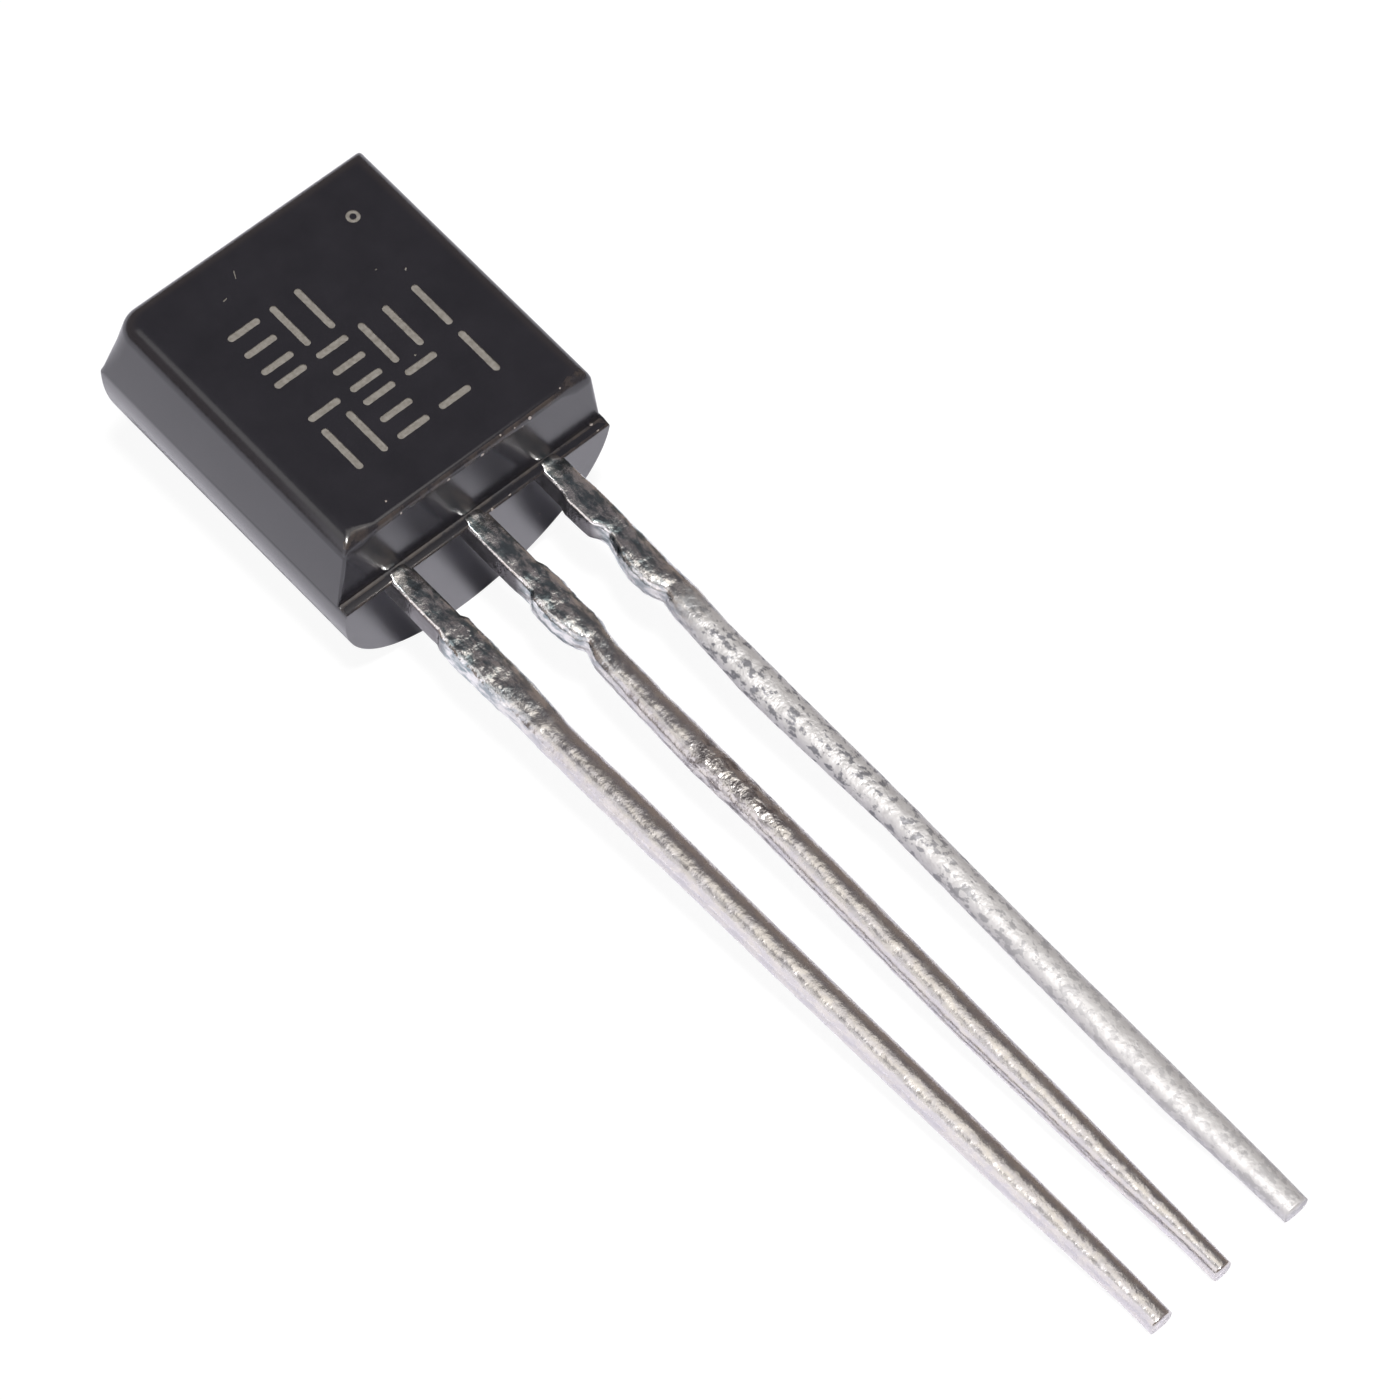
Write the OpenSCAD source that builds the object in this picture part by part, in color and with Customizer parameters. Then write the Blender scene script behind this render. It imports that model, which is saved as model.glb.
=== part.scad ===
// Small moulded transistor with three leads in a row, lying on its round back and its lead tips.
// Working frame: X runs along the row of leads, Y away from the lead tips, Z out of the flat face.
// Its origin is on the parting plane of the two mould halves, at the front half's lead end.

/* [Moulded case] */
// Width of the case at the parting plane, and twice the radius of its round back
case_w = 4.36; // [4.2:0.02:4.8]
// Length of the front half along the leads, measured at the parting plane
case_l = 4.6; // [4.3:0.05:5.2]
// Depth of the front half, from the parting plane to the flat face
front_d = 1.1; // [0.9:0.02:1.4]
// Straight flank between the parting plane and the round back
flank_d = 0.1; // [0.05:0.05:0.4]
// Step by which the back half stands out past the front half at the lead end
ledge = 0.15; // [0.05:0.01:0.25]
// Narrowing of the front half at each side, from the parting plane to the face
side_draft = 0.16; // [0.1:0.01:0.3]
// Narrowing of the front half at each end, from the parting plane to the face
end_draft = 0.09; // [0.05:0.01:0.2]
// Narrowing of the back half at each end, from the parting plane to the back
back_draft = 0.17; // [0.05:0.01:0.3]
// Radius of the rounded edge round the flat face
edge_r = 0.2; // [0.1:0.01:0.3]
// Radius of the front half's far corner on the emitter's side
corner_r = 0.22; // [0.1:0.01:0.4]

/* [Leads] */
// Distance from one lead to the next where they leave the case
lead_pitch = 1.27; // [1.2:0.01:1.4]
// Thickness of the stamped lead frame
frame_t = 0.4; // [0.34:0.01:0.48]
// Length of the leads from the front half's lead end to their tips
lead_l = 13.5; // [8:0.05:20]
// Width of a lead between the case and the cut tie bar
root_w = 0.38; // [0.34:0.01:0.56]
// Distance from the front half's lead end to the cut tie bar
tie_y = 1.25; // [0.6:0.05:2]
// Width of the tie bar, measured along the leads
tie_l = 0.95; // [0.5:0.05:1.2]
// Reach of the cut stub of the tie bar past the side of a lead
stub_reach = 0.07; // [0.02:0.01:0.12]
// Width of a lead just past the tie bar
leg_w = 0.48; // [0.38:0.01:0.55]
// Thickness of a lead just past the tie bar
leg_t = 0.38; // [0.32:0.01:0.4]
// Width of a lead at its tip
tip_w = 0.38; // [0.32:0.01:0.5]
// Thickness of a lead at its tip
tip_t = 0.32; // [0.31:0.01:0.38]
// Radius of the tinned corners of a lead
leg_round = 0.15; // [0.04:0.01:0.15]
// Sideways bend of the emitter lead at its tip
emitter_bend = 0.2; // [-0.3:0.01:0.3]
// Sideways bend of the base lead at its tip
base_bend = -0.06; // [-0.3:0.01:0.3]
// Sideways bend of the collector lead at its tip
collector_bend = -0.1; // [-0.3:0.01:0.3]

/* [Lead frame in the case] */
// Depth in the case at which the heads of the emitter and base leads begin
head_y = 0.7; // [0.4:0.05:1]
// Length of those heads along the leads
head_l = 0.85; // [0.6:0.05:1.2]
// Width of those heads
head_w = 0.74; // [0.6:0.02:0.86]
// Gap between the heads and the collector's paddle
paddle_gap = 0.35; // [0.2:0.05:0.5]
// Length of the paddle along the leads
paddle_l = 1.4; // [1:0.05:1.6]
// Width of the paddle
paddle_w = 2.3; // [1.8:0.05:2.4]

/* [Die and bond wires] */
// Side of the square die
die_w = 0.62; // [0.4:0.02:0.9]
// Thickness of the die
die_t = 0.2; // [0.15:0.01:0.3]
// Thickness of the bonding layer under the die
attach_t = 0.02; // [0.01:0.01:0.04]
// Width of the bonding layer's fillet past each side of the die
attach_edge = 0.04; // [0:0.01:0.08]
// Diameter of the bond wires
wire_d = 0.04; // [0.02:0.01:0.05]
// Rise of a bond wire's loop above the straight line between its ends
loop_rise = 0.26; // [0.1:0.02:0.4]
// Diameter of the ball where a bond wire starts on the die
ball_d = 0.1; // [0.06:0.01:0.12]
// Thickness of that ball
ball_t = 0.03; // [0.02:0.01:0.05]
// Distance between the two balls on the die
pad_gap = 0.3; // [0.2:0.02:0.36]

/* [Marking] */
// Width of one mark
mark_w = 0.5; // [0.4:0.02:0.56]
// Height of one mark
mark_h = 0.74; // [0.6:0.02:0.8]
// Width of the strokes that the marks are made of
mark_stroke = 0.1; // [0.06:0.01:0.14]
// Distance from one mark to the next in a row
mark_pitch = 0.68; // [0.6:0.02:0.8]
// Distance from one row of marks to the next
row_pitch = 0.89; // [0.84:0.01:1]
// Distance from the front half's lead end to the middle of the nearest row
first_row_y = 1.22; // [0.9:0.02:1.5]
// Shift of the marks towards the collector's side
mark_shift = 0.12; // [-0.2:0.02:0.3]
// Depth of the engraving
mark_depth = 0.02; // [0.01:0.01:0.04]
// Outer diameter of the small ring in the far corner of the face
ring_d = 0.2; // [0.14:0.02:0.3]
// Distance from the middle line to the ring
ring_x = 1.25; // [0.8:0.05:1.4]
// Distance from the far edge of the front half to the ring
ring_from_end = 0.86; // [0.6:0.02:1.2]

/* [Hidden] */

$fn = 96;
back_r = case_w / 2;
back_d = flank_d + back_r;
tie_end_y = tie_y + tie_l;
stem_end_y = head_y + head_l / 2;
paddle_y = head_y + head_l + paddle_gap;
paddle_right = lead_pitch + root_w / 2;
paddle_x = paddle_right - paddle_w / 2;
die_x = lead_pitch / 2 - die_w / 2;
die_y = paddle_y + paddle_l / 2;
die_top = attach_t + die_t;
bond_y = head_y + 0.6 * head_l;

// Lying at rest: the leads slope down from the round back to the tips
tip_under = (frame_t + tip_t) / 2;
rest_tilt = atan((back_d - tip_under) / (lead_l + back_draft - ledge));
rest_lift = lead_l * sin(rest_tilt) + tip_under * cos(rest_tilt);
far_y = (case_l - back_draft) * cos(rest_tilt) + back_d * sin(rest_tilt);
near_y = -lead_l * cos(rest_tilt) + (frame_t - tip_t) / 2 * sin(rest_tilt);

// Rows of marks from the lead end up: "h" is a stack of level strokes, "v" a row of upright ones
MARKS = [
    [["v", 2], ["h", 3], ["h", 2], ["v", 1]],
    [["h", 2], ["h", 3], ["v", 2], ["v", 1]],
    [["h", 3], ["v", 2]]
];

// Flat facets that make up the rounded edge of the face
EDGE_STEPS = 6;

// Bond wires: sides of the tube and stations along its loop
WIRE_SIDES = 8;
WIRE_STEPS = 12;

// Turns the part from its working frame to the way it lies, origin under the middle of its box
module lying() {
    translate([0, -(far_y + near_y) / 2, rest_lift]) rotate([rest_tilt, 0, 0]) children();
}

// Extrudes a section in X and Z along Y
module along_y(y_from, y_to) {
    translate([0, y_to, 0]) rotate([90, 0, 0]) linear_extrude(y_to - y_from) children();
}

// Extrudes a profile in Y and Z along X, over the full width
module along_x(width) {
    rotate([90, 0, 90]) translate([0, 0, -width / 2]) linear_extrude(width) children();
}

// Profile of the front half over one of its spans: drafted walls under a rounded edge
function front_profile(span, draft) = let (
    lean = atan(draft / front_d),
    arc_mid = span / 2 - draft - edge_r * tan((90 - lean) / 2),
    arc = [for (i = [EDGE_STEPS : -1 : 0]) let (a = (90 - lean) * i / EDGE_STEPS)
        [arc_mid + edge_r * sin(a), front_d - edge_r + edge_r * cos(a)]]
) concat(
    [[-span / 2, 0], [span / 2, 0]],
    arc,
    [for (i = [EDGE_STEPS : -1 : 0]) [-arc[i].x, arc[i].y]]
);

// Outline of the front half, seen from the front: one far corner is rounded
module front_plan() {
    translate([-case_w / 2, 0]) square([case_w, case_l - corner_r]);
    translate([corner_r - case_w / 2, 0]) square([case_w - corner_r, case_l]);
    translate([corner_r - case_w / 2, case_l - corner_r]) circle(r = corner_r, $fn = 48);
}

module front_half() {
    intersection() {
        linear_extrude(front_d) front_plan();
        along_y(0, case_l) polygon(front_profile(case_w, side_draft));
        along_x(2 * case_w) translate([case_l / 2, 0]) polygon(front_profile(case_l, end_draft));
    }
}

module back_half() {
    intersection() {
        along_y(-ledge, case_l) {
            translate([-back_r, -flank_d]) square([2 * back_r, flank_d]);
            intersection() {
                translate([0, -flank_d]) circle(r = back_r);
                translate([-back_r, -back_d]) square([2 * back_r, back_r]);
            }
        }
        along_x(3 * back_r) polygon([
            [-ledge, 0],
            [case_l, 0],
            [case_l - back_draft, -back_d],
            [back_draft - ledge, -back_d]
        ]);
    }
}

// One mark: level strokes stacked over its height, or upright strokes across its width
module mark(kind, strokes) {
    span = (kind == "h" ? mark_h : mark_w) - mark_stroke;
    for (i = [0 : strokes - 1]) {
        place = strokes > 1 ? span * (i / (strokes - 1) - 0.5) : 0;
        if (kind == "h") translate([0, place]) square([mark_w, mark_stroke], center = true);
        else translate([place, 0]) square([mark_stroke, mark_h], center = true);
    }
}

module engraving() {
    translate([0, 0, front_d - mark_depth]) linear_extrude(2 * mark_depth) {
        for (row = [0 : len(MARKS) - 1], i = [0 : len(MARKS[row]) - 1])
            translate([mark_shift + (i - 1.5) * mark_pitch, first_row_y + row * row_pitch])
                mark(MARKS[row][i][0], MARKS[row][i][1]);
        translate([ring_x, case_l - ring_from_end]) difference() {
            circle(d = ring_d, $fn = 32);
            circle(d = ring_d / 2, $fn = 32);
        }
    }
}

// A flat piece of the lead frame, its front in the parting plane
module frame_bar(x_mid, width, y_from, y_to) {
    translate([x_mid - width / 2, y_from, -frame_t]) cube([width, y_to - y_from, frame_t]);
}

// Straight root of a lead, from the end of the tie bar's stubs to a point in the case
module root(x_mid, y_to) {
    frame_bar(x_mid, root_w, -tie_end_y, y_to);
}

// Cut stub of the tie bar on one side of a lead: side is -1 or 1
module stub(x_mid, side) {
    stub_w = root_w / 2 + stub_reach;
    frame_bar(x_mid + side * stub_w / 2, stub_w, -tie_end_y, -tie_y);
}

module leg_section(x_mid, y, width, thick) {
    translate([x_mid, y, -frame_t / 2]) rotate([90, 0, 0]) linear_extrude(0.01)
        offset(r = leg_round, $fn = 32) square([width - 2 * leg_round, thick - 2 * leg_round], center = true);
}

// Tinned leg from the tie bar to the tip, narrowing and bent a little to one side
module leg(x_mid, bend) {
    hull() {
        leg_section(x_mid, -tie_end_y + 0.01, leg_w, leg_t);
        leg_section(x_mid + bend, 0.01 - lead_l, tip_w, tip_t);
    }
}

// Lead with a wide head that a bond wire ends on and that locks it in the case
module headed_lead(x_mid, bend) {
    leg(x_mid, bend);
    root(x_mid, stem_end_y);
    frame_bar(x_mid, head_w, head_y, head_y + head_l);
}

module emitter_solid() {
    headed_lead(-lead_pitch, emitter_bend);
    stub(-lead_pitch, 1);
}

module base_solid() {
    headed_lead(0, base_bend);
    stub(0, -1);
    stub(0, 1);
}

// Lead whose inner end spreads into the paddle that carries the die
module collector_solid() {
    leg(lead_pitch, collector_bend);
    root(lead_pitch, paddle_y + paddle_l / 2);
    stub(lead_pitch, -1);
    frame_bar(paddle_x, paddle_w, paddle_y, paddle_y + paddle_l);
}

module die_attach_solid() {
    attach_w = die_w + 2 * attach_edge;
    translate([die_x - attach_w / 2, die_y - attach_w / 2, 0]) cube([attach_w, attach_w, attach_t]);
}

module die_solid() {
    translate([die_x - die_w / 2, die_y - die_w / 2, attach_t]) cube([die_w, die_w, die_t]);
}

// Middle line of a bond wire: a parabola over the straight line from the die to the head
function wire_point(from, to, t) = from + t * (to - from) + [0, 0, 4 * loop_rise * t * (1 - t)];

// Ring of the tube at station i: level at both ends, square to the wire between them
function wire_ring(from, to, i) = let (
    t = i / WIRE_STEPS,
    run = to - from,
    slope = run + [0, 0, 4 * loop_rise * (1 - 2 * t)],
    level = i == 0 || i == WIRE_STEPS,
    ahead = level ? [0, 0, i == 0 ? 1 : -1] : slope / norm(slope),
    side = cross(ahead, [run.y, -run.x, 0]),
    across = cross(ahead, side / norm(side))
) [for (k = [0 : WIRE_SIDES - 1])
    wire_point(from, to, t)
    + wire_d / 2 * (cos(360 * k / WIRE_SIDES) * side / norm(side) + sin(360 * k / WIRE_SIDES) * across)];

// Bond wire from a ball on the die to a head of the lead frame
module bond_wire(pad, foot) {
    start = pad + [0, 0, ball_t / 2];
    rings = [for (i = [0 : WIRE_STEPS]) each wire_ring(start, foot, i)];
    sides = [for (i = [0 : WIRE_STEPS - 1], k = [0 : WIRE_SIDES - 1]) let (
        a = i * WIRE_SIDES + k,
        b = i * WIRE_SIDES + (k + 1) % WIRE_SIDES
    ) each [[a, a + WIRE_SIDES, b + WIRE_SIDES], [a, b + WIRE_SIDES, b]]];
    first_cap = [for (k = [0 : WIRE_SIDES - 1]) k];
    last_cap = [for (k = [0 : WIRE_SIDES - 1]) (WIRE_STEPS + 1) * WIRE_SIDES - 1 - k];
    polyhedron(concat(rings), concat([first_cap], sides, [last_cap]));
    translate(pad) cylinder(d = ball_d, h = ball_t, $fn = 32);
}

module emitter_wire_solid() {
    bond_wire([die_x - pad_gap / 2, die_y, die_top], [-lead_pitch, bond_y, 0]);
}

module base_wire_solid() {
    bond_wire([die_x + pad_gap / 2, die_y, die_top], [0, bond_y, 0]);
}

// One moulding of epoxy, cast round everything that it holds
module case() {
    color([0.09, 0.09, 0.1]) lying() difference() {
        union() {
            front_half();
            back_half();
        }
        engraving();
        emitter_solid();
        base_solid();
        collector_solid();
        die_attach_solid();
        die_solid();
        emitter_wire_solid();
        base_wire_solid();
    }
}

module lead_emitter() {
    color([0.72, 0.71, 0.7]) lying() emitter_solid();
}

module lead_base() {
    color([0.72, 0.71, 0.7]) lying() base_solid();
}

module lead_collector() {
    color([0.72, 0.71, 0.7]) lying() collector_solid();
}

module die_attach() {
    color([0.62, 0.6, 0.56]) lying() die_attach_solid();
}

module die() {
    color([0.35, 0.36, 0.42]) lying() die_solid();
}

module bond_wire_emitter() {
    color([0.85, 0.65, 0.25]) lying() emitter_wire_solid();
}

module bond_wire_base() {
    color([0.85, 0.65, 0.25]) lying() base_wire_solid();
}

case();
lead_emitter();
lead_base();
lead_collector();
die_attach();
die();
bond_wire_emitter();
bond_wire_base();
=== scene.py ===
import math

import bmesh
import bpy
from mathutils import Matrix, Quaternion, Vector, noise


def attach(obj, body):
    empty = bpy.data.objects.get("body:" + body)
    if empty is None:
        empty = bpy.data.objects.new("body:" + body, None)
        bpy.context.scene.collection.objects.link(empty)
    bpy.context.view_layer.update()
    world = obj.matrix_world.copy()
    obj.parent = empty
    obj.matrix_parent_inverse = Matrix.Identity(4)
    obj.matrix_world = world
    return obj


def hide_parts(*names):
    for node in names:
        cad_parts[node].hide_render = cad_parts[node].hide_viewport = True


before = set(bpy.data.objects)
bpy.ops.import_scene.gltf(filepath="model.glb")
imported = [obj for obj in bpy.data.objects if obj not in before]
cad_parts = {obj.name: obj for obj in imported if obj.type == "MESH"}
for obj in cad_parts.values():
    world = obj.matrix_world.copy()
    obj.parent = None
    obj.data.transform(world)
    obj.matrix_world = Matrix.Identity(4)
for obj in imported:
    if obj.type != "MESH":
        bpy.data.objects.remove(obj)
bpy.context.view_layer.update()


# ---- Camera ----------------------------------------------------------------------------------
# A long lens looks down on the part from beyond the lead tips, on the emitter's side. Lengths of
# the part are in millimetres until its mesh is laid down, which turns them to metres.

MM = 0.001
CAMERA_PLACE = (-30.6253, -36.2908, 67.9261)
CAMERA_AIM = (0.37848, 0.44983, -0.80895)
CAMERA_ROLL = -2.884
CAMERA_LENS, CAMERA_SENSOR = 171.59, 36
CAMERA_NEAREST, CAMERA_FURTHEST = 0.001, 10

camera = bpy.data.cameras.new("camera")
camera.lens, camera.sensor_width = CAMERA_LENS, CAMERA_SENSOR
camera.clip_start, camera.clip_end = CAMERA_NEAREST, CAMERA_FURTHEST
camera_object = bpy.data.objects.new("camera", camera)
camera_object.location = Vector(CAMERA_PLACE) * MM
camera_object.rotation_mode = "QUATERNION"
camera_object.rotation_quaternion = (
    Vector(CAMERA_AIM).to_track_quat("-Z", "Y")
    @ Quaternion((0, 0, 1), math.radians(CAMERA_ROLL))
)
bpy.context.scene.collection.objects.link(camera_object)
bpy.context.scene.camera = camera_object
bpy.context.scene.view_settings.view_transform = "Standard"


# ---- Table, room and lamps -------------------------------------------------------------------
# A white table top that runs on past the view, under a small strong lamp, a soft one up to the
# left and a weak one in front. The room over the table is dim, so polished faces turned upwards
# stay dark. Sizes and distances here are in metres.

TABLE_HALF = 2.0
# The camera sees the table nearly white by its own glow, and polished faces mirror a faint one
TABLE_GREY = (0.90, 0.89, 0.98, 1)
TABLE_SEEN_GREY = (0.11, 0.11, 0.11, 1)
TABLE_SEEN_GLOW, TABLE_MIRRORED_GLOW = 0.93, 0.03
WHITE = (1, 1, 1, 1)
ROOM_CEILING, ROOM_WALLS = (0.115, 0.105, 0.115, 1), (0.26, 0.215, 0.195, 1)
ROOM_FILL = (0.06, 0.06, 0.068, 1)
# How far up the room, from 0 to 1, its walls begin and have finished turning into its ceiling
WALLS_UNTIL, CEILING_FROM = 0.55, 0.88
# Two lit cards held close to the leads: polished faces mirror them, matt ones don't feel them
CARDS = ("lamp_low", "lamp_over")
LAMPS = {
    # name: (direction from the part, distance, width, height, watts, colour)
    "lamp_key": ((-0.2, -0.33, 0.92), 0.3, 0.03, 0.03, 0.90, (1.0, 0.99, 0.97)),
    "lamp_low": ((-0.90, -0.13, 0.42), 0.0165, 0.020, 0.015, 0.00092, (0.91, 0.92, 1.0)),
    "lamp_over": ((0.11, -0.067, 1.0), 0.030, 0.015, 0.016, 0.00076, (1.0, 0.96, 0.89)),
    "lamp_left": ((-0.50, 0.25, 0.83), 0.12, 0.05, 0.05, 0.0065, (1.0, 0.985, 0.96)),
    "lamp_front": ((0.38, -0.70, 0.60), 0.16, 0.08, 0.03, 0.002, (1.0, 0.92, 0.85)),
}


def node_tree(owner):
    """The emptied node tree of a material or a world."""
    owner.use_nodes = True
    owner.node_tree.nodes.clear()
    return owner.node_tree


def add(tree, kind, links=None, **values):
    """A node of a kind: values are its settings, links its inputs, each a value or a socket."""
    made = tree.nodes.new("ShaderNode" + kind)
    for name, value in values.items():
        setattr(made, name, value)
    for name, value in (links or {}).items():
        if isinstance(value, bpy.types.NodeSocket):
            tree.links.new(value, made.inputs[name])
        else:
            made.inputs[name].default_value = value
    return made


def two_tones(tree, mask, first, second):
    """The first colour where a mask is 0, the second where it is 1."""
    mixed = add(tree, "Mix", {"Factor": mask, "A": first, "B": second}, data_type="RGBA")
    return mixed.outputs["Result"]


def ramp(tree, value, start, end, at_start=0.0, at_end=1.0):
    """Goes from at_start to at_end as a value goes from start to end, and stays level outside."""
    return add(tree, "MapRange", {"Value": value, "From Min": start, "From Max": end,
                                  "To Min": at_start, "To Max": at_end}).outputs[0]


table_paint = bpy.data.materials.new("white_table")
tree = node_tree(table_paint)
ray = add(tree, "LightPath")
matt = add(tree, "BsdfDiffuse", {"Color": TABLE_GREY})
mirrored_glow = add(tree, "Emission", {"Color": WHITE, "Strength": TABLE_MIRRORED_GLOW})
mirrored = add(tree, "AddShader", {0: matt.outputs[0], 1: mirrored_glow.outputs[0]})
seen_matt = add(tree, "BsdfDiffuse", {"Color": TABLE_SEEN_GREY})
seen_glow = add(tree, "Emission", {"Color": WHITE, "Strength": TABLE_SEEN_GLOW})
seen = add(tree, "AddShader", {0: seen_matt.outputs[0], 1: seen_glow.outputs[0]})
in_mirror = add(tree, "Math", {0: ray.outputs["Is Glossy Ray"],
                               1: ray.outputs["Is Transmission Ray"]}, operation="MAXIMUM")
unseen = add(tree, "MixShader", {0: in_mirror.outputs[0], 1: matt.outputs[0],
                                 2: mirrored.outputs[0]})
mixed = add(tree, "MixShader", {0: ray.outputs["Is Camera Ray"], 1: unseen.outputs[0],
                                2: seen.outputs[0]})
add(tree, "OutputMaterial", {"Surface": mixed.outputs[0]})

sheet = bmesh.new()
bmesh.ops.create_grid(sheet, x_segments=1, y_segments=1, size=TABLE_HALF)
table_mesh = bpy.data.meshes.new("table")
sheet.to_mesh(table_mesh)
sheet.free()
table_mesh.materials.append(table_paint)
table = bpy.data.objects.new("table", table_mesh)
bpy.context.scene.collection.objects.link(table)

room = bpy.data.worlds.new("room")
tree = node_tree(room)
ray = add(tree, "LightPath")
white = add(tree, "Background", {"Color": WHITE, "Strength": 1.0})
around = add(tree, "SeparateXYZ", {"Vector": add(tree, "TexCoord").outputs["Generated"]})
upward = ramp(tree, around.outputs["Z"], WALLS_UNTIL, CEILING_FROM)
dim = add(tree, "Background", {"Color": two_tones(tree, upward, ROOM_WALLS, ROOM_CEILING),
                               "Strength": 1.0})
fill = add(tree, "Background", {"Color": ROOM_FILL, "Strength": 1.0})
unseen = add(tree, "MixShader", {0: ray.outputs["Is Glossy Ray"], 1: fill.outputs[0],
                                 2: dim.outputs[0]})
lit = add(tree, "MixShader", {0: ray.outputs["Is Camera Ray"], 1: unseen.outputs[0],
                              2: white.outputs[0]})
add(tree, "OutputWorld", {"Surface": lit.outputs[0]})
bpy.context.scene.world = room

for name, (direction, distance, width, height, watts, colour) in LAMPS.items():
    lamp = bpy.data.lights.new(name, "AREA")
    lamp.shape, lamp.size, lamp.size_y = "RECTANGLE", width, height
    lamp.energy, lamp.color = watts, colour
    lamp_object = bpy.data.objects.new(name, lamp)
    lamp_object.location = Vector(direction).normalized() * distance
    lamp_object.rotation_mode = "QUATERNION"
    lamp_object.rotation_quaternion = Vector(direction).to_track_quat("Z", "Y")
    lamp_object.visible_camera = False
    lamp_object.visible_diffuse = name not in CARDS
    bpy.context.scene.collection.objects.link(lamp_object)


# ---- Leads -----------------------------------------------------------------------------------
# Three leads stamped from one strip of metal and dipped in tin after moulding. Close to the case
# the stamped edges are still crisp, then the tin lies in a rounded, lumpy coat down to the tips.

CASE_LENGTH, LEDGE, BACK_DRAFT, BACK_DEPTH = 4.6, 0.15, 0.17, 2.28
STRIP_THICK, TIP_THICK, LEAD_LENGTH, LEAD_PITCH = 0.4, 0.32, 13.5, 1.27
# The part rests on its round back and its lead tips: from its own frame, where the leads run down
# -Y and the flat face looks up +Z, it is tilted until both touch the table, and centred
TIP_UNDER = (STRIP_THICK + TIP_THICK) / 2
REST_TILT = math.atan((BACK_DEPTH - TIP_UNDER) / (LEAD_LENGTH + BACK_DRAFT - LEDGE))
REST_LIFT = LEAD_LENGTH * math.sin(REST_TILT) + TIP_UNDER * math.cos(REST_TILT)
FAR_Y = (CASE_LENGTH - BACK_DRAFT) * math.cos(REST_TILT) + BACK_DEPTH * math.sin(REST_TILT)
NEAR_Y = (-LEAD_LENGTH * math.cos(REST_TILT)
          + (STRIP_THICK - TIP_THICK) / 2 * math.sin(REST_TILT))
LYING = (
    Matrix.Scale(MM, 4)
    @ Matrix.Translation((0, -(FAR_Y + NEAR_Y) / 2, REST_LIFT))
    @ Matrix.Rotation(REST_TILT, 4, "X")
)


def in_order(shape):
    """Sorts corners, edges and faces by place, as operators may list them in another order."""
    for parts, key in ((shape.verts, lambda v: tuple(v.co)),
                       (shape.edges, lambda e: sorted(v.index for v in e.verts)),
                       (shape.faces, lambda f: sorted(v.index for v in f.verts))):
        rank = {part: i for i, part in enumerate(sorted(parts, key=key))}
        parts.sort(key=rank.get)
        parts.index_update()


def new_object(shape, name, *materials):
    """Makes an object of a bmesh, with its materials in their slots, and frees the bmesh."""
    in_order(shape)
    mesh = bpy.data.meshes.new(name)
    shape.to_mesh(mesh)
    shape.free()
    for material in materials:
        mesh.materials.append(material)
    made = bpy.data.objects.new(name, mesh)
    bpy.context.scene.collection.objects.link(made)
    return made


def settle(shape, name, *materials):
    """Makes an object of a bmesh built in the part's working frame, laid down as the part lies."""
    bmesh.ops.recalc_face_normals(shape, faces=shape.faces)
    bmesh.ops.transform(shape, matrix=LYING, verts=shape.verts)
    for face in shape.faces:
        face.smooth = True
    return new_object(shape, name, *materials)


def between(stations, y):
    """Values of a table of (y, value, ...) rows at a y, on straight lines between its rows."""
    if y >= stations[0][0]:
        return stations[0][1:]
    for above, below in zip(stations, stations[1:]):
        if y >= below[0]:
            share = (above[0] - y) / (above[0] - below[0])
            return [a + share * (b - a) for a, b in zip(above[1:], below[1:])]
    return stations[-1][1:]


def effect(name, inputs, outputs):
    """An empty node group with its sockets: (label, kind, value) in and (label, kind) out."""
    group = bpy.data.node_groups.new(name, "ShaderNodeTree")
    for label, kind, value in inputs:
        group.interface.new_socket(label, in_out="INPUT", socket_type=kind).default_value = value
    for label, kind in outputs:
        group.interface.new_socket(label, in_out="OUTPUT", socket_type=kind)
    given = group.nodes.new("NodeGroupInput").outputs
    return group, given, group.nodes.new("NodeGroupOutput").inputs


NOISE_ROUGHNESS, CLOUD_DETAIL, GRAIN_DETAIL = 0.6, 4, 3

# Soft clouds, from 0 to 1, of a given fineness
CLOUDS, given, result = effect(
    "clouds", [("Scale", "NodeSocketFloat", 5000), ("Low", "NodeSocketFloat", 0.35),
               ("High", "NodeSocketFloat", 0.65), ("Squash", "NodeSocketVector", (1, 1, 1))],
    [("Mask", "NodeSocketFloat")])
place = add(CLOUDS, "VectorMath", {0: add(CLOUDS, "TexCoord").outputs["Object"],
                                   1: given["Squash"]}, operation="MULTIPLY").outputs[0]
field = add(CLOUDS, "TexNoise", {"Vector": place, "Scale": given["Scale"],
                                 "Detail": CLOUD_DETAIL, "Roughness": NOISE_ROUGHNESS})
spread = add(CLOUDS, "MapRange", {"Value": field.outputs["Fac"], "From Min": given["Low"],
                                  "From Max": given["High"]})
CLOUDS.links.new(spread.outputs[0], result["Mask"])

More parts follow.
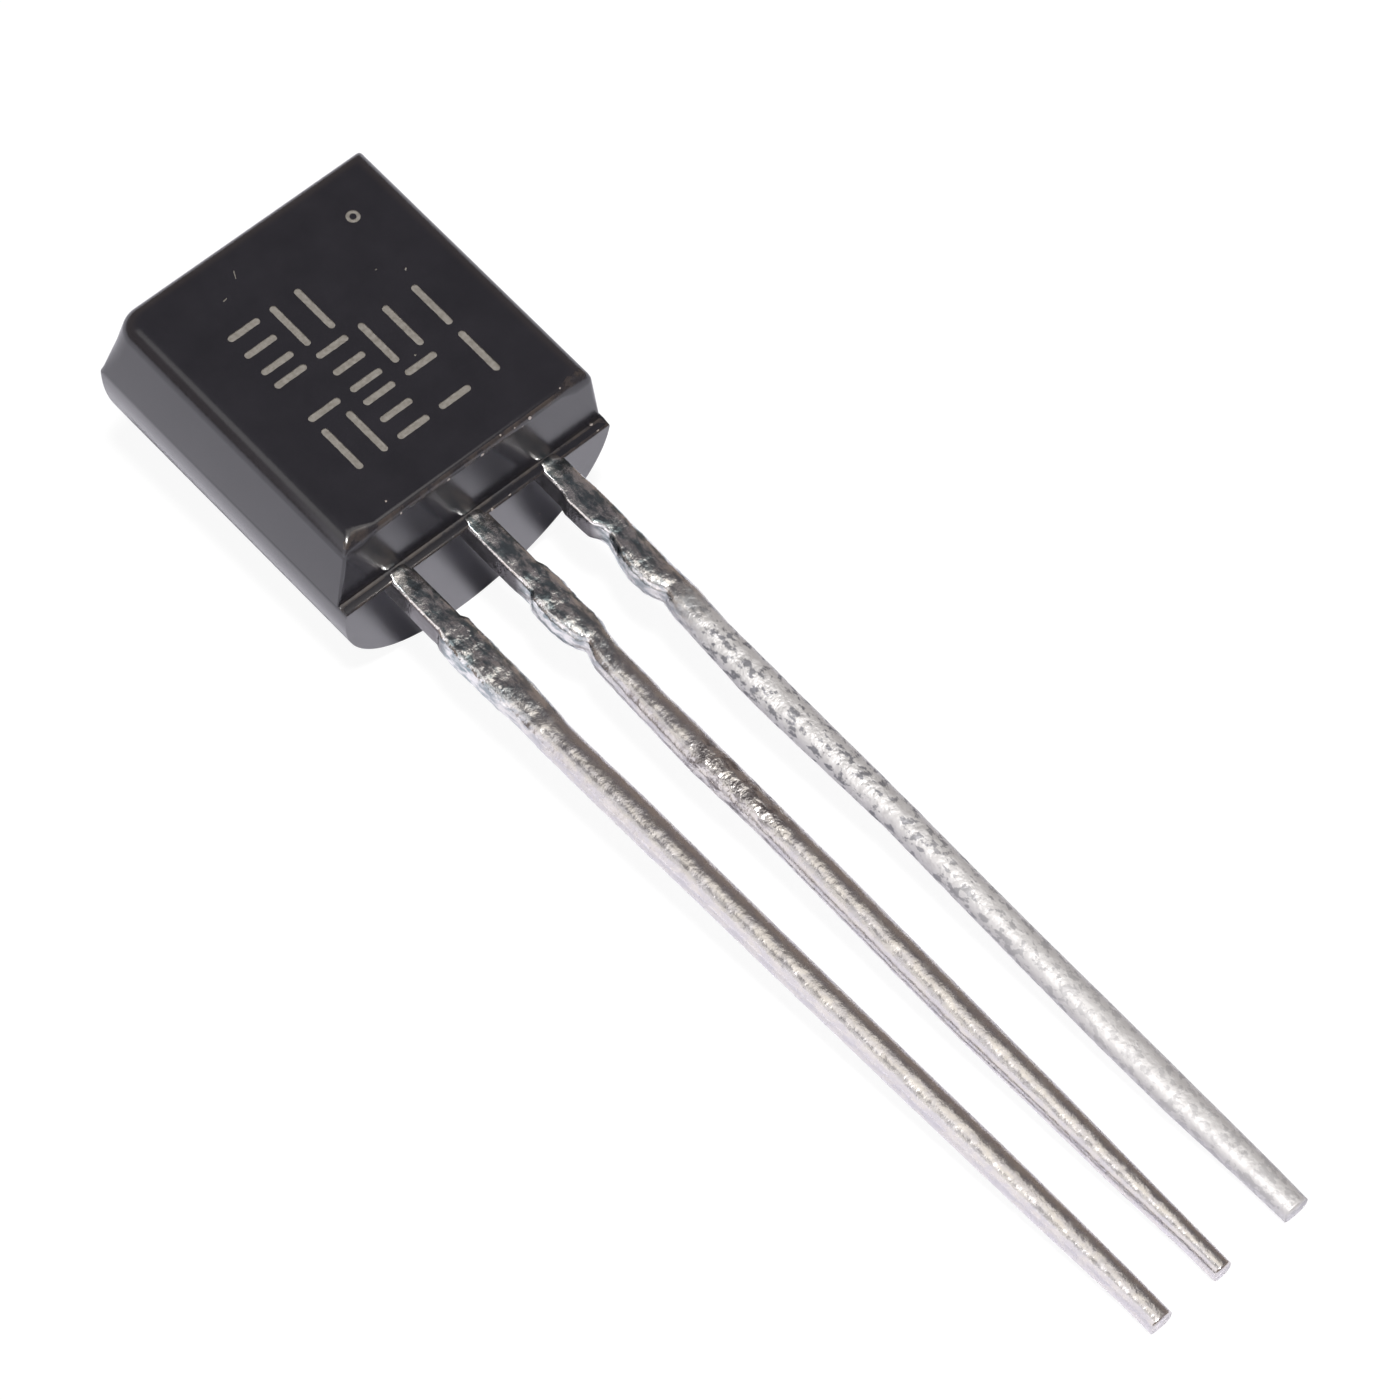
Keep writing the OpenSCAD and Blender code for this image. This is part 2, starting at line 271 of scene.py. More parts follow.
# Scattered round dots: their mask, 1 in a dot
DOTS, given, result = effect(
    "dots", [("Scale", "NodeSocketFloat", 6000), ("Radius", "NodeSocketFloat", 0.15),
             ("Rarity", "NodeSocketFloat", 0.5)], [("Mask", "NodeSocketFloat")])
place = add(DOTS, "TexCoord").outputs["Object"]
field = add(DOTS, "TexVoronoi", {"Vector": place, "Scale": given["Scale"]})
inside = add(DOTS, "Math", {0: field.outputs["Distance"], 1: given["Radius"]},
             operation="LESS_THAN")
chance = add(DOTS, "SeparateXYZ", {"Vector": field.outputs["Color"]})
chosen = add(DOTS, "Math", {0: chance.outputs["X"], 1: given["Rarity"]}, operation="GREATER_THAN")
both = add(DOTS, "Math", {0: inside.outputs[0], 1: chosen.outputs[0]}, operation="MULTIPLY")
DOTS.links.new(both.outputs[0], result["Mask"])

# Fine grain of a surface: its normal, and the height that made it
GRAIN, given, result = effect(
    "grain", [("Scale", "NodeSocketFloat", 20000), ("Depth", "NodeSocketFloat", 0.00001),
              ("Strength", "NodeSocketFloat", 0.2)],
    [("Height", "NodeSocketFloat"), ("Normal", "NodeSocketVector")])
place = add(GRAIN, "TexCoord").outputs["Object"]
field = add(GRAIN, "TexNoise", {"Vector": place, "Scale": given["Scale"],
                                "Detail": GRAIN_DETAIL, "Roughness": NOISE_ROUGHNESS})
relief = add(GRAIN, "Bump", {"Height": field.outputs["Fac"], "Distance": given["Depth"],
                             "Strength": given["Strength"]})
GRAIN.links.new(field.outputs["Fac"], result["Height"])
GRAIN.links.new(relief.outputs[0], result["Normal"])


def times(tree, *values):
    """The product of values and sockets."""
    product = values[0]
    for value in values[1:]:
        product = add(tree, "Math", {0: product, 1: value}, operation="MULTIPLY").outputs[0]
    return product


def plus(tree, first, second):
    """The sum of two values or sockets."""
    return add(tree, "Math", {0: first, 1: second}, operation="ADD").outputs[0]


# Where the tin changes, in metres: along the leads its crisp part beside the case, the last bit of
# that, right at the case, and the patch on the middle lead; across them that patch and the skin
CRISP_Y, SMOOTH_Y = 0.0027, 0.0012
ROOT_FROM, ROOT_TO, BARE_TO = 0.0031, 0.0033, 0.0034
PATCH_LOW_Y, PATCH_HIGH_Y = (-0.0016, -0.0011), (0.0002, 0.0)
PATCH_LEFT_X, PATCH_RIGHT_X = (-0.0006, -0.0005), (0.0006, 0.0005)
SKIN_X = (0.0006, 0.0008)
# How much of the skin is crackled at the tips and at the case, and how much is then unbroken
CRACKLE_Y, CRACKLE_TIPS, CRACKLE_CASE, UNBROKEN = (-0.0055, -0.0015), 0.25, 1.0, 0.7
# The tin's two tints beside the case, further down, and in the skin; then that of the patch's
# blots, a painted highlight on the top left edge beside the case, and a painted shade on the left
# side there
CRISP_TINTS = (0.30, 0.36, 0.38, 1), (0.93, 0.92, 0.90, 1)
SMOOTH_TINTS = (0.65, 0.63, 0.64, 1), (0.72, 0.69, 0.66, 1)
SKIN_TINTS = (0.25, 0.25, 0.27, 1), (0.67, 0.66, 0.66, 1)
BLOT_TINT, PAINTED_HIGHLIGHT_TINT = (0.36, 0.34, 0.34, 1), (0.97, 0.94, 0.93, 1)
PAINTED_SHADE_TINT = (0.17, 0.16, 0.165, 1)
MOTTLE = {"Scale": 10000, "Low": 0.42, "High": 0.58, "Squash": (1, 0.45, 1)}
CRACKLE = {"Scale": 11000, "Low": 0.40, "High": 0.48, "Squash": (1, 0.6, 1)}
SWELL = {"Scale": 2600, "Low": 0.25, "High": 0.75}
# The mottle's darkest parts are blots
BLOT_RANGE = (0.45, 0.1)
# How far a face has turned to the left, as its normal's X, where the sheared left side beside the
# case gets its painted shade and its top edge its painted highlight
SHADE_TURN, HIGHLIGHT_TURN = (-0.72, -0.82), (-0.25, -0.4)
# Height of the grain and of the waves, in metres
GRAIN_SMOOTH, GRAIN_CRISP, GRAIN_MATT = 0.000004, 0.000013, 0.000020
WAVE_PLAIN, WAVE_PATCH = 0.000010, 0.000032
# Fineness of the grain, and the share of it that shows right at the case
TIN_GRAIN_SCALE, BARE_SHARE = 7000, 0.3
# Roughness of the coat and what the skin adds to it; the grain swings it both ways
ROUGH_SMOOTH, ROUGH_CRISP, ROUGH_MATT, ROUGH_SWING = 0.26, 0.20, 0.32, 0.05
GRAIN_LOW, GRAIN_HIGH = 0.3, 0.7
SKIN_METALLIC = 0.68


def tinned_metal():
    material = bpy.data.materials.new("tinned_lead")
    tree = node_tree(material)
    place = add(tree, "SeparateXYZ", {"Vector": add(tree, "TexCoord").outputs["Object"]}).outputs
    # 1 beside the case, 0 where the coat has smoothed out
    crisp = ramp(tree, place["Y"], SMOOTH_Y, CRISP_Y)
    # The collector's lead has a matt, crackled skin where the other two are bright
    matt = times(tree, ramp(tree, place["X"], *SKIN_X), ramp(tree, crisp, 0.5, 0.0))
    # A wrinkled patch on the middle lead
    patch = times(tree, ramp(tree, place["Y"], *PATCH_LOW_Y), ramp(tree, place["Y"], *PATCH_HIGH_Y),
                  ramp(tree, place["X"], *PATCH_LEFT_X), ramp(tree, place["X"], *PATCH_RIGHT_X))
    mottle = add(tree, "Group", MOTTLE, node_tree=CLOUDS).outputs["Mask"]
    crackle = add(tree, "Group", CRACKLE, node_tree=CLOUDS).outputs["Mask"]
    # The crackle fades towards the tips
    crackled = ramp(tree, place["Y"], *CRACKLE_Y, CRACKLE_TIPS, CRACKLE_CASE)
    unbroken = ramp(tree, crackled, CRACKLE_TIPS, CRACKLE_CASE, UNBROKEN, 0.0)
    skin = add(tree, "Math", {0: crackle, 1: unbroken}, operation="MAXIMUM").outputs[0]
    smooth_tint = two_tones(tree, mottle, *SMOOTH_TINTS)
    far_tint = two_tones(tree, matt, smooth_tint, two_tones(tree, skin, *SKIN_TINTS))
    tint = two_tones(tree, crisp, far_tint, two_tones(tree, mottle, *CRISP_TINTS))
    tint = two_tones(tree, times(tree, patch, ramp(tree, mottle, *BLOT_RANGE)), tint, BLOT_TINT)
    # Beside the case the sheared left side is painted dark, a painted shade for the case's dark
    # reflection and its shadow, and its top edge gets a painted highlight
    root = ramp(tree, place["Y"], ROOT_FROM, ROOT_TO)
    normal = add(tree, "SeparateXYZ", {"Vector": add(tree, "TexCoord").outputs["Normal"]}).outputs
    shaded_side = ramp(tree, normal["X"], *SHADE_TURN)
    painted_highlight = times(tree, root, ramp(tree, normal["X"], *HIGHLIGHT_TURN),
                      ramp(tree, shaded_side, 1.0, 0.0))
    tint = two_tones(tree, painted_highlight, tint, PAINTED_HIGHLIGHT_TINT)
    tint = two_tones(tree, times(tree, root, shaded_side), tint, PAINTED_SHADE_TINT)
    # Fine grain, which the smooth strip right beside the case hardly shows, over broad waves
    grain = add(tree, "Group", {"Scale": TIN_GRAIN_SCALE}, node_tree=GRAIN).outputs["Height"]
    bare = ramp(tree, place["Y"], ROOT_FROM, BARE_TO, 1.0, BARE_SHARE)
    depth = plus(tree, ramp(tree, crisp, 0.0, 1.0, GRAIN_SMOOTH, GRAIN_CRISP),
                 times(tree, matt, crackled, GRAIN_MATT))
    swell = add(tree, "Group", SWELL, node_tree=CLOUDS).outputs["Mask"]
    broad = times(tree, swell, ramp(tree, patch, 0.0, 1.0, WAVE_PLAIN, WAVE_PATCH))
    relief = add(tree, "Bump", {"Height": plus(tree, times(tree, grain, bare, depth), broad),
                                "Distance": 1.0})
    rough = plus(tree, ramp(tree, crisp, 0.0, 1.0, ROUGH_SMOOTH, ROUGH_CRISP),
                 times(tree, matt, ROUGH_MATT))
    rough = plus(tree, rough, ramp(tree, grain, GRAIN_LOW, GRAIN_HIGH, -ROUGH_SWING, ROUGH_SWING))
    shader = add(tree, "BsdfPrincipled", {
        "Base Color": tint, "Metallic": ramp(tree, matt, 0.0, 1.0, 1.0, SKIN_METALLIC),
        "Roughness": rough, "Normal": relief.outputs[0]})
    add(tree, "OutputMaterial", {"Surface": shader.outputs[0]})
    return material


TIN = tinned_metal()
RING_SIDES, LEAD_STEP = 40, 0.03
# Inside the case the emitter's and base's leads end in heads, the collector's in the die's paddle
HEAD_Y, HEAD_LENGTH, HEAD_WIDTH, PADDLE_GAP = 0.7, 0.85, 0.74, 0.35
PADDLE_LENGTH, PADDLE_WIDTH, ROOT_WIDTH = 1.4, 2.3, 0.38
PADDLE_Y = HEAD_Y + HEAD_LENGTH + PADDLE_GAP
# Height of the step where a head or a paddle widens, and squareness of the bare metal's section
SHOULDER_STEP, STAMPED = 0.005, 12.0

# Each row of a lead: y, middle to the right of the lead's own line, width
COURSES = {
    "lead_emitter": (-LEAD_PITCH, [
        (0, .005, .37), (-1.02, .005, .38), (-1.12, .012, .49), (-1.43, 0, .505),
        (-1.95, .004, .53), (-2.22, .011, .515), (-2.48, .011, .50), (-3.0, -.011, .474),
        (-3.52, -.004, .476), (-4.3, .012, .484), (-5.57, .032, .479), (-6.84, .052, .464),
        (-8.1, .077, .449), (-9.34, .099, .439), (-10.57, .128, .429), (-11.78, .155, .399),
        (-12.99, .180, .349), (-13.5, .177, .339)]),
    "lead_base": (0, [
        (0, -.02, .37), (-1.06, -.02, .375), (-1.16, .005, .42), (-1.34, .01, .44),
        (-1.42, -.012, .50), (-1.77, -.025, .52), (-2.04, -.006, .50), (-2.2, .01, .44),
        (-2.3, .027, .34), (-2.57, -.032, .40), (-2.83, -.04, .42), (-3.36, -.057, .428),
        (-4.14, -.064, .464), (-4.4, -.069, .470), (-5.42, -.051, .436), (-6.7, -.064, .446),
        (-7.97, -.080, .450), (-9.22, -.093, .447), (-10.46, -.086, .402), (-11.68, -.089, .360),
        (-12.9, -.075, .284), (-13.5, -.077, .269)]),
    "lead_collector": (LEAD_PITCH, [
        (0, -.03, .37), (-.5, -.03, .38), (-.62, -.043, .43), (-1.06, -.035, .43), (-1.2, 0, .36),
        (-1.32, .01, .34), (-1.48, -.015, .38), (-1.59, -.03, .43), (-1.86, -.06, .49),
        (-2.13, -.056, .50), (-2.27, -.03, .45), (-2.39, -.005, .39), (-2.65, -.027, .45),
        (-3.19, -.067, .444), (-3.97, -.089, .490), (-4.24, -.095, .498), (-5.27, -.085, .469),
        (-6.55, -.075, .433), (-7.83, -.101, .444), (-9.09, -.121, .468), (-10.34, -.133, .489),
        (-11.57, -.136, .474), (-12.79, -.116, .414), (-13.5, -.116, .379)]),
}
# Down every lead: y, thickness and squareness of the section, fall of its flat sides towards the
# edges, and height of the lumps
COAT = [
    (0, .40, 3.2, 0, 0), (-.04, .43, 3.6, .03, 0), (-.1, .42, 5, .1, 0), (-.15, .41, 14, .13, 0),
    (-.9, .4, 14, .13, .002), (-1.15, .4, 6, .1, .01), (-1.5, .4, 4, .03, .016),
    (-2.3, .38, 2.8, 0, .014), (-3.2, .38, 2.3, 0, .006), (-6, .37, 2.2, 0, .004),
    (-10, .35, 2.2, 0, .002), (-13.5, .32, 2.6, 0, .001)]
LUMPS_PER_MM, DIMPLES_PER_MM, DIMPLE_SHARE = 4.0, 14.0, 0.35
# How sharply the flats fall at their edges, and how many times further apart the leads lie in the
# noise that their lumps are taken from, so that no two are alike
CROWN_POWER, LUMP_SHIFT = 4, 7


def ring_place(k, x_mid, y, z_mid, width, thick, square, crown):
    """Point k of a section: an oval that gets squarer as square grows, its flats crowned."""
    angle = 2 * math.pi * (k + 0.5) / RING_SIDES
    power = 2 / square
    across, up = math.cos(angle), math.sin(angle)
    x_share = math.copysign(abs(across) ** power, across)
    z_share = math.copysign(abs(up) ** power, up) * (1 - crown * x_share ** CROWN_POWER)
    return Vector((x_mid + width / 2 * x_share, y, z_mid + thick / 2 * z_share))


def lead(name):
    """One lead, drawn ring by ring from its hidden end in the case to its tip."""
    x_line, course = COURSES[name]
    if name == "lead_collector":
        right = LEAD_PITCH + ROOT_WIDTH / 2
        middle = right - PADDLE_WIDTH / 2
        inner = [(PADDLE_Y + PADDLE_LENGTH, middle, PADDLE_WIDTH), (PADDLE_Y, middle, PADDLE_WIDTH),
                 (PADDLE_Y - SHOULDER_STEP, x_line, ROOT_WIDTH)]
    else:
        inner = [(HEAD_Y + HEAD_LENGTH, x_line, HEAD_WIDTH), (HEAD_Y, x_line, HEAD_WIDTH),
                 (HEAD_Y - SHOULDER_STEP, x_line, ROOT_WIDTH)]
    rows = [(y, x, w, STRIP_THICK, STAMPED, 0, 0) for y, x, w in inner]
    steps = round(-course[-1][0] / LEAD_STEP)
    for i in range(steps + 1):
        y = course[-1][0] * i / steps
        shift, width = between(course, y)
        thick, square, crown, lumps = between(COAT, y)
        rows.append((y, x_line + shift, width, thick, square, crown, lumps))
    shape = bmesh.new()
    bmesh.ops.create_circle(shape, segments=RING_SIDES, radius=1, cap_ends=True)
    shape.verts.ensure_lookup_table()
    ring = sorted(shape.verts, key=lambda v: math.atan2(v.co.y, v.co.x) % (2 * math.pi))
    edges = list(shape.edges)
    for n, (y, x_mid, width, thick, square, crown, lumps) in enumerate(rows):
        if n:
            grown = bmesh.ops.extrude_edge_only(shape, edges=edges)["geom"]
            fresh = {v for v in grown if isinstance(v, bmesh.types.BMVert)}
            edges = [e for e in grown if isinstance(e, bmesh.types.BMEdge)
                     and all(v in fresh for v in e.verts)]
            ring = [next(e.other_vert(v) for e in v.link_edges if e.other_vert(v) in fresh)
                    for v in ring]
        middle = Vector((x_mid, y, -STRIP_THICK / 2))
        for k, v in enumerate(ring):
            v.co = ring_place(k, x_mid, y, middle.z, width, thick, square, crown)
            if lumps:
                spot = v.co + Vector((LUMP_SHIFT * x_line, 0, 0))
                swell = (noise.noise(spot * LUMPS_PER_MM)
                         + DIMPLE_SHARE * noise.noise(spot * DIMPLES_PER_MM))
                v.co += (v.co - middle).normalized() * lumps * swell
    bmesh.ops.contextual_create(shape, geom=edges)
    return settle(shape, name.replace("lead_", "tinned_lead_"), TIN)


for node_name in COURSES:
    piece = lead(node_name)
    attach(piece, "root")
    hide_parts(node_name)


# ---- Die, its bonding layer and the bond wires -----------------------------------------------
# Sealed in the case, on the collector's paddle. They keep the solids of the model, and only their
# finishes are set here: dull solder, a polished silicon die and drawn gold wire.

SOFT = {"Low": 0.3, "High": 0.7}
SEALED_GRAIN = {"Depth": 0.000004, "Strength": 0.3}


def sealed_finish(name, dark, light, metallic, rough, scale):
    """A clouded colour, and a grain twice as fine that swings the roughness."""
    material = bpy.data.materials.new(name)
    tree = node_tree(material)
    clouds = add(tree, "Group", {"Scale": scale, **SOFT}, node_tree=CLOUDS)
    grain = add(tree, "Group", {"Scale": 2 * scale, **SEALED_GRAIN}, node_tree=GRAIN)
    spread = add(tree, "MapRange", {"Value": grain.outputs["Height"], "To Min": rough[0],
                                    "To Max": rough[1]})
    shader = add(tree, "BsdfPrincipled", {
        "Base Color": two_tones(tree, clouds.outputs["Mask"], dark, light), "Metallic": metallic,
        "Roughness": spread.outputs[0], "Normal": grain.outputs["Normal"]})
    add(tree, "OutputMaterial", {"Surface": shader.outputs[0]})
    return material


GOLD = sealed_finish("bond_gold", (.75, .5, .18, 1), (.9, .66, .3, 1), 1.0, (.15, .3), 60000)
SEALED = {
    "die_attach": sealed_finish("die_solder", (.42, .41, .4, 1), (.62, .61, .6, 1), 1.0,
                                (.35, .55), 30000),
    "die": sealed_finish("silicon", (.10, .11, .15, 1), (.16, .17, .22, 1), 0.0, (.1, .25), 15000),
    "bond_wire_emitter": GOLD,
    "bond_wire_base": GOLD,
}
for node_name, material in SEALED.items():
    cad_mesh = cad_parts[node_name].data
    cad_mesh.materials.clear()
    cad_mesh.materials.append(material)


# ---- Case ------------------------------------------------------------------------------------
# One moulding of black epoxy in two halves: a drafted block in front with a rounded edge round its
# flat face, and a round back that stands out past it at the lead end. A laser etched the marks.

CASE_WIDTH, FRONT_DEPTH, FLANK = 4.36, 1.1, 0.1
BACK_RADIUS = CASE_WIDTH / 2
SIDE_DRAFT, END_DRAFT = 0.16, 0.09
# Reach and steps of the roundings: the far left corner of the front half, the two plain corners
# and the right one at the lead end, the edge of the face, and the rims of the lead end and back
FAR_CORNER_ROUND, FAR_CORNER_STEPS = 0.3, 10
LEFT_CORNER_ROUND, LEFT_CORNER_STEPS = 0.04, 3
RIGHT_CORNER_ROUND, RIGHT_CORNER_STEPS = 0.09, 4
FACE_EDGE_REACH, FACE_EDGE_STEPS = 0.23, 10
LEDGE_ROUND, BACK_EDGE_ROUND, RIM_STEPS = 0.035, 0.035, 3
# Heights on the far left corner and its roundness there: tight up to half way, then opening out
FAR_CORNER_RINGS = ((0, 0.13), (0.55, 0.13), (1.1, 0.36))
# Size of the face's edge above the leads beside elsewhere, the distance either side of the middle
# over which it is tighter, and the share of that where it is tightest
TIGHT_SHARE, TIGHT_UNTIL, TIGHT_FULL = 0.45, 1.75, 0.86
# How near the middle the centres of the rounded edge's long faces lie
STRIP_MIDDLE = 0.1
# Heights between which the edge above the leads carries a painted highlight
HIGHLIGHT_FROM, HIGHLIGHT_TO = 1.0, 1.09
BACK_SIDES, BAR_LENGTH = 160, 3 * CASE_LENGTH
MARK_WIDTH, MARK_HEIGHT, MARK_STROKE, MARK_DEPTH = 0.5, 0.74, 0.1, 0.02
MARK_PITCH, ROW_PITCH, FIRST_ROW_Y, MARK_SHIFT = 0.68, 0.89, 1.22, 0.12
MIDDLE_COLUMN = 1.5  # between the second and the third of four
RING_OUTER, RING_INNER, RING_X, RING_Y = 0.095, 0.045, 1.25, CASE_LENGTH - 0.86
STROKE_SIDES, RING_MARK_SIDES, STROKE_STEP = 16, 24, 0.05
CUTTER_HEIGHT = 3 * MARK_DEPTH
MARK_RAGGED, NICK_RAGGED, RAGGED_PER_MM = 0.004, 0.002, 12
# Rows of marks from the lead end up: "h" is a stack of level strokes, "v" a row of upright ones
MARKS = [
    [("v", 2), ("h", 3), ("h", 2), ("v", 1)],
    [("h", 2), ("h", 3), ("v", 2), ("v", 1)],
    [("h", 3), ("v", 2)],
]
# Nicks in the face: x, y, length, width, turn in degrees
NICKS = [(-.454, 4.02, .13, .014, 62), (-.79, 3.81, .07, .018, 10), (.49, 1.68, .03, .03, 0),
         (1.24, 2.72, .05, .016, 40), (.95, 2.95, .03, .02, 0)]

BLACK_TINTS = (0.0145, 0.0140, 0.0180, 1), (0.0200, 0.0190, 0.0240, 1)
# A painted tan highlight for the lead end's edges, and one colour for the painted glints on them
# and for dust specks
EDGE_HIGHLIGHT_TINT, GLINT_AND_DUST_TINT = (0.050, 0.040, 0.036, 1), (0.38, 0.33, 0.30, 1)
ETCHED_TINTS = (0.17, 0.155, 0.135, 1), (0.30, 0.28, 0.255, 1)
HIGHLIGHT_PATCHES = {"Scale": 5000, "Low": 0.40, "High": 0.60}
GLINTS = {"Scale": 9000, "Radius": 0.22, "Rarity": 0.72}
DUST = {"Scale": 2600, "Radius": 0.035, "Rarity": 0.8}
EPOXY_GRAIN = {"Scale": 26000, "Depth": 0.000004, "Strength": 0.12}
ETCHED_GRAIN = {"Scale": 22000, "Depth": 0.00001, "Strength": 0.4}
EPOXY_CLOUD_SCALE, ETCHED_CLOUD_SCALE = 1800, 20000
EPOXY_ROUGH, ETCHED_ROUGH, EPOXY_IOR = (0.16, 0.26), (0.55, 0.8), 1.7
EDGE_MASK = "edge_share"


def moulded_epoxy():
    material = bpy.data.materials.new("case_epoxy")
    tree = node_tree(material)
    clouds = add(tree, "Group", {"Scale": EPOXY_CLOUD_SCALE, **SOFT}, node_tree=CLOUDS)
    black = two_tones(tree, clouds.outputs["Mask"], *BLACK_TINTS)
    # The edges of the lead end carry a painted highlight, a thin tan line broken up and dotted with
    # painted glints; dust specks lie all over
    edge = add(tree, "Attribute", attribute_name=EDGE_MASK).outputs["Fac"]
    patches = add(tree, "Group", HIGHLIGHT_PATCHES, node_tree=CLOUDS)
    tan = two_tones(tree, times(tree, edge, patches.outputs["Mask"]), black, EDGE_HIGHLIGHT_TINT)
    glints = add(tree, "Group", GLINTS, node_tree=DOTS)
    dust = add(tree, "Group", DUST, node_tree=DOTS)
    specks = add(tree, "Math", {0: times(tree, edge, glints.outputs["Mask"]),
                                1: dust.outputs["Mask"]}, operation="MAXIMUM")
    colour = two_tones(tree, specks.outputs[0], tan, GLINT_AND_DUST_TINT)
    grain = add(tree, "Group", EPOXY_GRAIN, node_tree=GRAIN)
    rough = ramp(tree, grain.outputs["Height"], 0.0, 1.0, *EPOXY_ROUGH)
    shader = add(tree, "BsdfPrincipled", {
        "Base Color": colour, "Roughness": rough, "IOR": EPOXY_IOR,
        "Normal": grain.outputs["Normal"]})
    add(tree, "OutputMaterial", {"Surface": shader.outputs[0]})
    return material


def etched_epoxy():
    material = bpy.data.materials.new("etched_epoxy")
    tree = node_tree(material)
    specks = add(tree, "Group", {"Scale": ETCHED_CLOUD_SCALE, **SOFT}, node_tree=CLOUDS)
    colour = two_tones(tree, specks.outputs["Mask"], *ETCHED_TINTS)
    grain = add(tree, "Group", ETCHED_GRAIN, node_tree=GRAIN)
    rough = ramp(tree, grain.outputs["Height"], 0.0, 1.0, *ETCHED_ROUGH)
    shader = add(tree, "BsdfPrincipled", {
        "Base Color": colour, "Roughness": rough, "Normal": grain.outputs["Normal"]})
    add(tree, "OutputMaterial", {"Surface": shader.outputs[0]})
    return material


EPOXY, ETCHED = moulded_epoxy(), etched_epoxy()
# Lengths that count as none: between places in the mesh, and from a cutting plane
TINY, ON_PLANE = 1e-4, 1e-6
# How far round a corner its edges are looked for, as a share of the roundings there, how near its
# ring of points lies, and the least turn, in radians, of an edge that is a corner's or a rim's
CORNER_SEARCH, CORNER_HOLD = 1.5, 1.2
CORNER_TURN, RIM_TURN = math.radians(6), 1


def everything(shape):
    """All corners, edges and faces of a bmesh."""
    return shape.verts[:] + shape.edges[:] + shape.faces[:]


def cut(shape, point, normal):
    """Cuts off what lies beyond a plane and closes the cut."""
    made = bmesh.ops.bisect_plane(shape, geom=everything(shape), plane_co=point, plane_no=normal,
                                  clear_outer=True, dist=ON_PLANE)
    edges = [e for e in made["geom_cut"] if isinstance(e, bmesh.types.BMEdge)]
    bmesh.ops.contextual_create(shape, geom=edges)


def round_edges(shape, edges, reach, steps):
    """Rounds edges and gives back the new faces."""
    return bmesh.ops.bevel(shape, geom=edges, offset=reach, offset_type="OFFSET", segments=steps,
                           profile=0.5, affect="EDGES", material=-1, clamp_overlap=False)["faces"]


def corner_edges(shape, x_side, y):
    """The edges that run up a corner of the front half's footprint, bent ones too."""
    corner = Vector((x_side * CASE_WIDTH / 2, y, 0))
    reach = CORNER_SEARCH * (FACE_EDGE_REACH + SIDE_DRAFT)
    return [e for e in shape.edges
            if all(v.co.z > -TINY and (v.co - corner).to_2d().length < reach for v in e.verts)
            and abs(e.verts[0].co.z - e.verts[1].co.z) > TINY
            and e.calc_face_angle(0) > CORNER_TURN]


